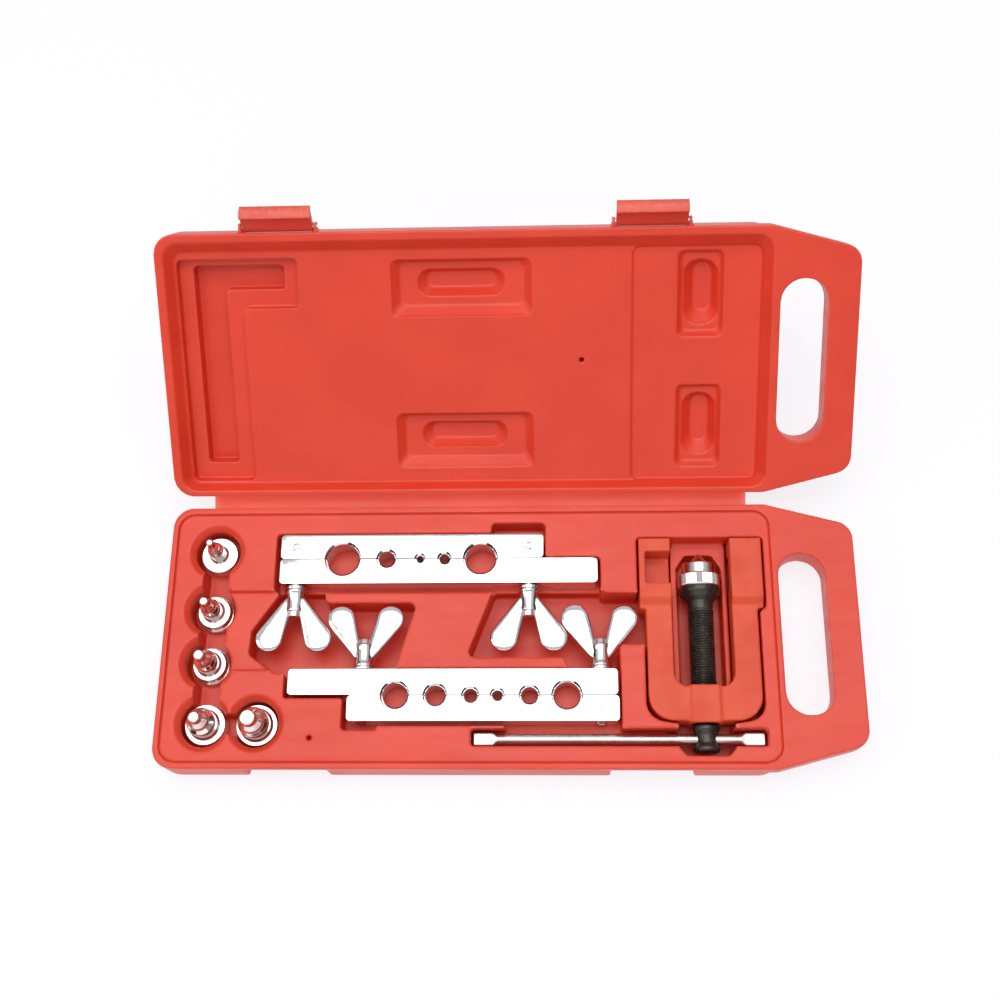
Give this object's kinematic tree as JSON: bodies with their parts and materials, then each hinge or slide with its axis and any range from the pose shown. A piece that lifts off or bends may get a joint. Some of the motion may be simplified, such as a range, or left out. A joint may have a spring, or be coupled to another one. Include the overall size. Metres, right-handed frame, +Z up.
{
  "type": "flaring tool kit",
  "caption": "Tube flaring kit in an open hinged case: split flaring bars with wing nuts, yoke with feed screw and T-handle, stepped swaging adapters.",
  "frame": {"origin": "centre of the flat underside of the case's lower half", "axes": "+X towards the handle, -Y towards the front with the latch recesses, +Z up out of the tray"},
  "size_m": [0.34, 0.2546, 0.1137],
  "materials": {
    "case_plastic": "satin blow-moulded polyethylene with a fine texture",
    "latch_plastic": "satin injection-moulded plastic",
    "yoke_paint": "semi-gloss enamel over a forging",
    "black_oxide": "oiled black oxide on steel",
    "bright_chrome": "bright chrome plate",
    "polished_steel": "hardened and polished",
    "zinc_rod": "satin zinc plate",
    "nickel_adapter": "nickel plate over turned steel"
  },
  "bodies": {
    "case_base": {"case_base": "case_plastic", "hinge_web_base": "case_plastic"},
    "case_lid": {"case_lid": "case_plastic", "hinge_web_lid": "case_plastic", "latch_pins": "polished_steel"},
    "latch_left": {"latch_left": "latch_plastic"},
    "latch_right": {"latch_right": "latch_plastic"},
    "yoke": {"yoke": "yoke_paint"},
    "feed_screw": {"feed_screw": "black_oxide", "thrust_ball": "polished_steel"},
    "flaring_cone": {"flaring_cone": "polished_steel"},
    "retaining_collar": {"retaining_collar": "bright_chrome"},
    "t_handle": {"t_handle": "zinc_rod"},
    "adapter_1": {"adapter_1": "nickel_adapter"},
    "adapter_2": {"adapter_2": "nickel_adapter"},
    "adapter_3": {"adapter_3": "nickel_adapter"},
    "adapter_4": {"adapter_4": "nickel_adapter"},
    "adapter_5": {"adapter_5": "nickel_adapter"},
    "bar_a": {"bar_a_long_half": "bright_chrome"},
    "bar_a_jaw": {"bar_a_short_half": "bright_chrome", "bar_a_bolts": "polished_steel", "bar_a_bolt_pins": "polished_steel", "bar_a_washers": "bright_chrome"},
    "bar_a_wing_nut_left": {"bar_a_wing_nut_left": "bright_chrome"},
    "bar_a_wing_nut_right": {"bar_a_wing_nut_right": "bright_chrome"},
    "bar_b": {"bar_b_long_half": "bright_chrome"},
    "bar_b_jaw": {"bar_b_short_half": "bright_chrome", "bar_b_bolts": "polished_steel", "bar_b_bolt_pins": "polished_steel", "bar_b_washers": "bright_chrome"},
    "bar_b_wing_nut_left": {"bar_b_wing_nut_left": "bright_chrome"},
    "bar_b_wing_nut_right": {"bar_b_wing_nut_right": "bright_chrome"}
  },
  "joints": [
    {"name": "lid_hinge", "type": "hinge", "parent": "case_base", "child": "case_lid", "pos_m": [0, 0.0687, 0.024], "axis": [-1, 0, 0], "range_deg": [-143.6, 36.4]},
    {"name": "latch_left_swing", "type": "hinge", "parent": "case_lid", "child": "latch_left", "pos_m": [-0.1088, 0.18075, 0.10288], "axis": [-1, 0, 0], "range_deg": [-55, 90]},
    {"name": "latch_right_swing", "type": "hinge", "parent": "case_lid", "child": "latch_right", "pos_m": [0.0705, 0.18075, 0.10288], "axis": [-1, 0, 0], "range_deg": [-55, 90]},
    {"name": "yoke_lift", "type": "slide", "parent": "case_base", "child": "yoke", "axis": [0, 0, 1], "range_m": [0, 0.1]},
    {"name": "screw_turn", "type": "hinge", "parent": "yoke", "child": "feed_screw", "pos_m": [0.0947, -0.0363, 0.0138], "axis": [0, 1, 0], "range_deg": [0, 18]},
    {"name": "cone_spin", "type": "hinge", "parent": "feed_screw", "child": "flaring_cone", "pos_m": [0.0947, 0.0327, 0.0138], "axis": [0, 1, 0], "continuous": true},
    {"name": "collar_spin", "type": "hinge", "parent": "feed_screw", "child": "retaining_collar", "pos_m": [0.0947, 0.0277, 0.0138], "axis": [0, 1, 0], "continuous": true},
    {"name": "t_handle_slide", "type": "slide", "parent": "feed_screw", "child": "t_handle", "axis": [1, 0, 0], "range_m": [-0.0008, 0.0008]},
    {"name": "adapter_1_lift", "type": "slide", "parent": "case_base", "child": "adapter_1", "axis": [0, 0, 1], "range_m": [0, 0.08]},
    {"name": "adapter_2_lift", "type": "slide", "parent": "case_base", "child": "adapter_2", "axis": [0, 0, 1], "range_m": [0, 0.08]},
    {"name": "adapter_3_lift", "type": "slide", "parent": "case_base", "child": "adapter_3", "axis": [0, 0, 1], "range_m": [0, 0.08]},
    {"name": "adapter_4_lift", "type": "slide", "parent": "case_base", "child": "adapter_4", "axis": [0, 0, 1], "range_m": [0, 0.08]},
    {"name": "adapter_5_lift", "type": "slide", "parent": "case_base", "child": "adapter_5", "axis": [0, 0, 1], "range_m": [0, 0.08]},
    {"name": "bar_a_lift", "type": "slide", "parent": "case_base", "child": "bar_a", "axis": [0, 0, 1], "range_m": [0, 0.1]},
    {"name": "bar_a_jaw_slide", "type": "slide", "parent": "bar_a", "child": "bar_a_jaw", "axis": [0, 1, 0], "range_m": [0, 0.0004]},
    {"name": "bar_a_nut_left_turn", "type": "hinge", "parent": "bar_a_jaw", "child": "bar_a_wing_nut_left", "pos_m": [-0.1068, 0.0387, 0.01635], "axis": [0, 1, 0], "range_deg": [0, 35]},
    {"name": "bar_a_nut_right_turn", "type": "hinge", "parent": "bar_a_jaw", "child": "bar_a_wing_nut_right", "pos_m": [0.01, 0.0387, 0.01635], "axis": [0, 1, 0], "range_deg": [0, 35]},
    {"name": "bar_b_lift", "type": "slide", "parent": "case_base", "child": "bar_b", "axis": [0, 0, 1], "range_m": [0, 0.1]},
    {"name": "bar_b_jaw_slide", "type": "slide", "parent": "bar_b", "child": "bar_b_jaw", "axis": [0, -1, 0], "range_m": [0, 0.0004]},
    {"name": "bar_b_nut_left_turn", "type": "hinge", "parent": "bar_b_jaw", "child": "bar_b_wing_nut_left", "pos_m": [-0.0709, -0.0302, 0.01635], "axis": [0, 1, 0], "range_deg": [0, 35]},
    {"name": "bar_b_nut_right_turn", "type": "hinge", "parent": "bar_b_jaw", "child": "bar_b_wing_nut_right", "pos_m": [0.0449, -0.0302, 0.01635], "axis": [0, 1, 0], "range_deg": [0, 35]}
  ]
}
